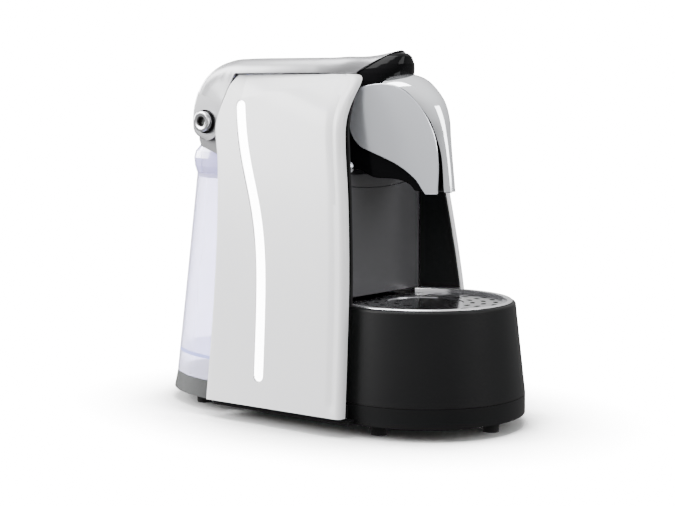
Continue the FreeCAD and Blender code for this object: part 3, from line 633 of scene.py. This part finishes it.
def ear_ring(low, high):
    """Section of the arm's side plate from its edge by the panel to its rounded outer edge."""
    d = distance(low, high)
    ny, nz = (high[0] - low[0]) / d, (high[1] - low[1]) / d
    r = min(5.0, 0.6 * d)
    outline = [(60.1, 0.0), (62.7, 0.0), (63.0, 0.3)]
    for k in range(9):
        a = math.radians(90 * k / 8)
        outline.append((63.0 - 2.9 * (1 - math.cos(a)) * min(1.0, r / 2.9), d - r + r * math.sin(a)))
    outline.append((60.05, d - 0.05))
    return [(-x, low[0] + ny * n, low[1] + nz * n) for x, n in outline]


# Grip at each height: half-width, back and front.
GRIP_HALF = [(257, 33.4), (265, 33.0), (272, 30.6), (275.5, 27.4), (279, 23.0), (282, 18.9), (285, 14.2),
             (287, 9.5), (288.4, 3.0)]
GRIP_BACK = [(257, 46.0), (265, 44.5), (272, 43.0), (279, 35.6), (285, 29.3), (288.4, 26.0)]
GRIP_FRONT = [(257, 22.5), (265, 20.0), (272, 17.6), (279, 15.6), (285, 16.2), (287, 18.0), (288.4, 22.0)]


def grip():
    rings = []
    for z in steps(257.0, 271.4, 12) + steps(272.0, 288.4, 34):
        half, back, front = value_at(GRIP_HALF, z), value_at(GRIP_BACK, z), value_at(GRIP_FRONT, z)
        ring = []
        for k in range(61):
            u = math.sin(math.pi * (k / 60 - 0.5))
            y = front + (back - front) * abs(u) ** 2.9
            if z > ARM_LOW:
                plane_y = LIP_Y + LIP_LEAN[0] / LIP_LEAN[1] * (z - ARM_LOW)
                y = min(y, plane_y + 0.8)
            ring.append((half * u, y, z))
        limit = back + (4.0 if z < ARM_LOW else 0.8)
        ring += [(half, limit, z), (0.0, limit, z), (-half, limit, z)]
        rings.append(ring)
    build("lever_grip.skin", loft(rings), "black_gloss", "lever", ["lever_grip"], angle=50)


# ---------------------------------------------------------------- tank
TANK_FOOT, TANK_FLOOR_LOW, TANK_FLOOR, TANK_SHOULDER, TANK_RIM = 23.0, 40.0, 42.4, 190.5, 211.0
OUTLET_Z, OUTLET_R = 51, 5.6


def tank_reach(z):
    """Depth of the tank behind its flat front."""
    return 95.95 - 0.1262 * (z - TANK_FOOT) + 0.00003 * (z - TANK_FOOT) * (z - 105)


def half_oval(z, reach, half, front=TANK_Y, corner=5.0):
    """Outline of the tank at one height: rounded front corners and an elliptic back."""
    points = []
    for k in range(81):
        a = math.pi * k / 80
        points.append((-half * math.cos(a), front + reach * math.sin(a)))
    points[0] = (points[0][0], front + corner * 0.6)
    points[-1] = (points[-1][0], front + corner * 0.6)
    extra = [(half - corner * 0.3, front + 0.18 * corner), (half - corner, front)]
    points += extra + [(0.0, front)] + [(-x, y) for x, y in reversed(extra)]
    return [(x, y, z) for x, y in points]


def bore(obj, centre, radius, length):
    """Cuts a round hole along Y into a finished piece."""
    x, y, z = centre
    turns = [2 * math.pi * i / 40 for i in range(40)]
    ends = []
    for side in (length / 2, -length / 2):
        ends.append([(x + radius * math.cos(a), y + side, z + radius * math.sin(a)) for a in turns])
    points, faces = loft(ends)
    data = bpy.data.meshes.new("bore")
    data.from_pydata([at(p) for p in points], [], faces)
    tool = bpy.data.objects.new("bore", data)
    scene.collection.objects.link(tool)
    cut = obj.modifiers.new("bore", "BOOLEAN")
    cut.operation = "DIFFERENCE"
    cut.solver = "EXACT"
    cut.object = tool
    bpy.context.view_layer.update()
    whole = obj.evaluated_get(bpy.context.evaluated_depsgraph_get())
    result = bpy.data.meshes.new_from_object(whole)
    obj.modifiers.remove(cut)
    obj.data = result
    bpy.data.objects.remove(tool)
    bpy.data.meshes.remove(data)


def tank():
    """Clear body with a drawn-in neck, open at the top, over a hollow skirt."""
    neck, wall = 3.2, 2.2
    rings = []
    for z in steps(TANK_FOOT, TANK_SHOULDER, 60):
        reach = tank_reach(z)
        rings.append(half_oval(z, reach, 0.7 * reach))
    for z in (191.2, 200, TANK_RIM):
        reach = tank_reach(z) - neck
        rings.append(half_oval(z, reach - 2.6, 0.7 * tank_reach(z) - neck, front=TANK_Y + 2.6))
    for z in (TANK_RIM, 190.0):
        reach = tank_reach(z) - 5.4
        rings.append(half_oval(z, reach - 4.8, 0.7 * tank_reach(z) - 5.4, front=TANK_Y + 4.8))
    for z in steps(187.0, TANK_FLOOR, 40):
        reach = tank_reach(z) - wall
        rings.append(half_oval(z, reach - wall, 0.7 * tank_reach(z) - wall, front=TANK_Y + wall))
    points, faces = loft(rings, caps=False)
    n = len(rings[0])
    last = (len(rings) - 1) * n
    faces.append(tuple(last + j for j in range(n)))
    under = []
    for z in (TANK_FLOOR_LOW, TANK_FOOT):
        reach = tank_reach(z) - wall
        under.append(half_oval(z, reach - wall, 0.7 * tank_reach(z) - wall, front=TANK_Y + wall))
    base = len(points)
    points += under[0] + under[1]
    faces.append(tuple(base + j for j in reversed(range(n))))
    for j in range(n):
        k = (j + 1) % n
        faces.append((base + j, base + n + j, base + n + k, base + k))
        faces.append((j, k, base + n + k, base + n + j))
    obj = build("water_tank.skin", (points, faces), "tank_clear", "tank", ["water_tank"], angle=35)
    obj.data.materials.append(looks["water_line"])
    obj.data.materials.append(looks["lid_clear"])
    for face in obj.data.polygons:
        z = face.center.z * 1000
        if 39.5 < z < 42.6:
            face.material_index = 1
        elif z > 188.6:
            face.material_index = 2
    bore(obj, (0, TANK_Y + 1, OUTLET_Z), OUTLET_R, 12)


# ---------------------------------------------------------------- studio
def make_world():
    """Soft grey-white surroundings, a little brighter overhead."""
    world = bpy.data.worlds.new("studio")
    scene.world = world
    world.use_nodes = True
    tree = world.node_tree
    shade = tree.nodes["Background"]
    place = tree.nodes.new("ShaderNodeTexCoord").outputs["Generated"]
    split = tree.nodes.new("ShaderNodeSeparateXYZ")
    tree.links.new(place, split.inputs["Vector"])
    level = tree.nodes.new("ShaderNodeMapRange")
    level.inputs["From Min"].default_value = -0.2
    level.inputs["From Max"].default_value = 0.9
    level.inputs["To Min"].default_value = 0.45
    level.inputs["To Max"].default_value = 1.5
    tree.links.new(split.outputs["Z"], level.inputs["Value"])
    tree.links.new(level.outputs["Result"], shade.inputs["Strength"])
    shade.inputs["Color"].default_value = (1, 1, 1, 1)


def area_light(name, place, target, size, power):
    data = bpy.data.lights.new(name, "AREA")
    data.shape = "RECTANGLE"
    data.size, data.size_y = size
    data.energy = power
    obj = bpy.data.objects.new(name, data)
    scene.collection.objects.link(obj)
    obj.location = Vector(place)
    obj.rotation_euler = (Vector(target) - Vector(place)).to_track_quat("-Z", "Y").to_euler()
    obj.visible_camera = False


def floor_material():
    """Bright paper that glows softly, with a painted contact shadow: the glow dims close under and beside
    the machine.
    """
    mat = finish_material("studio_floor", (0.50, 0.50, 0.50), (0.52, 0.52, 0.52), (0.5, 0.6), grain=40,
                          bump=0.0, cloud=2.0, specular=0.1)
    tree = mat.node_tree
    shader = tree.nodes["Principled BSDF"]
    # Painted contact shadow: ambient occlusion turns the floor's glow down near the machine.
    near = tree.nodes.new("ShaderNodeAmbientOcclusion")
    near.samples = 8
    near.inputs["Distance"].default_value = 0.12
    level = tree.nodes.new("ShaderNodeMapRange")
    level.inputs["From Min"].default_value = 0.45
    level.inputs["From Max"].default_value = 0.97
    painted_shadow_curve = tree.nodes.new("ShaderNodeMath")
    painted_shadow_curve.operation = "POWER"
    painted_shadow_curve.inputs[1].default_value = 2.6
    tree.links.new(near.outputs["AO"], level.inputs["Value"])
    tree.links.new(level.outputs["Result"], painted_shadow_curve.inputs[0])
    tree.links.new(spread(tree, painted_shadow_curve.outputs["Value"], 0.0, 16.0), shader.inputs["Emission Strength"])
    shader.inputs["Emission Color"].default_value = (1, 1, 1, 1)
    return mat


def studio_sheet(name, profile, mat):
    """Part of the round studio sweep: profile of (radius, height), turned about the middle."""
    rings = []
    for radius, height in profile:
        turns = [2 * math.pi * i / 96 for i in range(96)]
        rings.append([(radius * math.cos(a), radius * math.sin(a), height) for a in turns])
    points, faces = loft(rings, caps=False)
    data = bpy.data.meshes.new(name)
    data.from_pydata(points, [], faces)
    data.shade_smooth()
    data.materials.append(mat)
    obj = bpy.data.objects.new(name, data)
    scene.collection.objects.link(obj)
    obj.visible_diffuse = False
    obj.visible_glossy = False
    return obj


def make_floor():
    mat = floor_material()
    studio_sheet("floor", [(0.0005, 0.0), (0.5, 0.0), (1.2, 0.0), (2.4, 0.0)], mat)
    bend = [(2.4 + 0.8 * math.sin(a), 0.8 * (1 - math.cos(a))) for a in steps(0, math.pi / 2, 24)]
    wall = studio_sheet("backdrop", bend + [(3.2, 4.5)], mat)
    wall.visible_shadow = False


def make_camera():
    data = bpy.data.cameras.new("view")
    data.lens = 84.1
    data.sensor_width = 36.0
    obj = bpy.data.objects.new("view", data)
    scene.collection.objects.link(obj)
    obj.location = (-1.0048, -0.7796, 0.2574)
    obj.rotation_euler = Vector((0.785, 0.611, -0.1016)).to_track_quat("-Z", "Y").to_euler()
    scene.camera = obj


side_panels()
head()
rim()
bolts()
arm()
grip()
tank()
make_world()
make_floor()
area_light("key", (-1.0, 0.85, 0.75), (0, 0, 0.15), (0.8, 0.8), 40)
area_light("rear", (0.2, 2.0, 0.75), (0, 0, 0.2), (1.4, 0.9), 90)
area_light("front", (0.4, -2.1, 1.0), (0, 0, 0.15), (1.2, 1.2), 30)
area_light("top", (-0.5, 0.2, 2.0), (0, 0, 0.1), (1.4, 1.4), 60)
make_camera()
